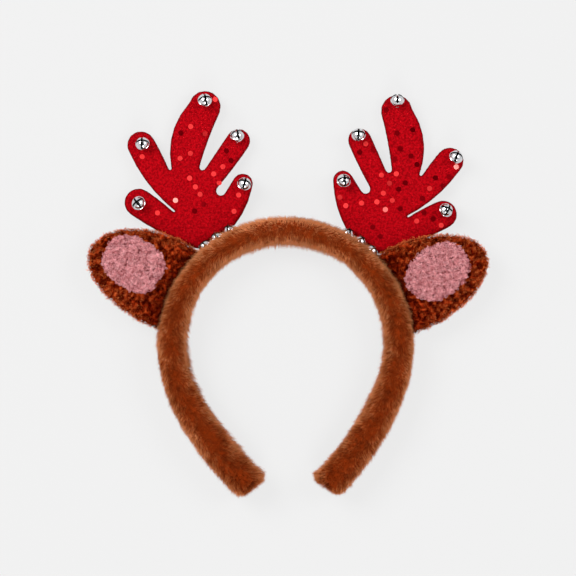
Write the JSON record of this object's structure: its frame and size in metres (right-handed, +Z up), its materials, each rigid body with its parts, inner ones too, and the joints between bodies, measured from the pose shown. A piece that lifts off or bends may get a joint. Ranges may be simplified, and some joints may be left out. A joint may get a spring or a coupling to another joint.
{
  "type": "reindeer antler headband",
  "caption": "Plush-covered open hoop headband lying flat, with padded branched antlers, jingle bells on the tines and along the antlers' seats, and padded ears with a looped patch.",
  "frame": {"origin": "on the resting plane, under the point where the centre line of the hoop passes the crown", "axes": "+Z up from the surface that the headband lies on, towards its front; +Y from the open ends to the crown and the antlers; +X to the right as seen from the front"},
  "size_m": [0.2277, 0.2319, 0.025],
  "materials": {
    "fur": "short brown plush fur",
    "red_cloth": "red glitter cloth with flat round sequins",
    "teddy": "dark rust brown curly teddy cloth",
    "boucle": "dusty pink looped cloth",
    "silver": "bright nickel-plated sheet"
  },
  "bodies": {
    "root": {"fur_band": "fur", "antler_left": "red_cloth", "antler_right": "red_cloth", "ear_left": "teddy", "ear_right": "teddy", "ear_patch_left": "boucle", "ear_patch_right": "boucle", "bell_left_tall": "silver", "bell_left_outer_upper": "silver", "bell_left_outer_lower": "silver", "bell_left_inner_upper": "silver", "bell_left_inner_lower": "silver", "bell_left_base_1": "silver", "bell_left_base_2": "silver", "bell_left_base_3": "silver", "bell_right_tall": "silver", "bell_right_outer_upper": "silver", "bell_right_outer_lower": "silver", "bell_right_inner_upper": "silver", "bell_right_inner_lower": "silver", "bell_right_base_1": "silver", "bell_right_base_2": "silver", "bell_right_base_3": "silver"}
  },
  "joints": []
}
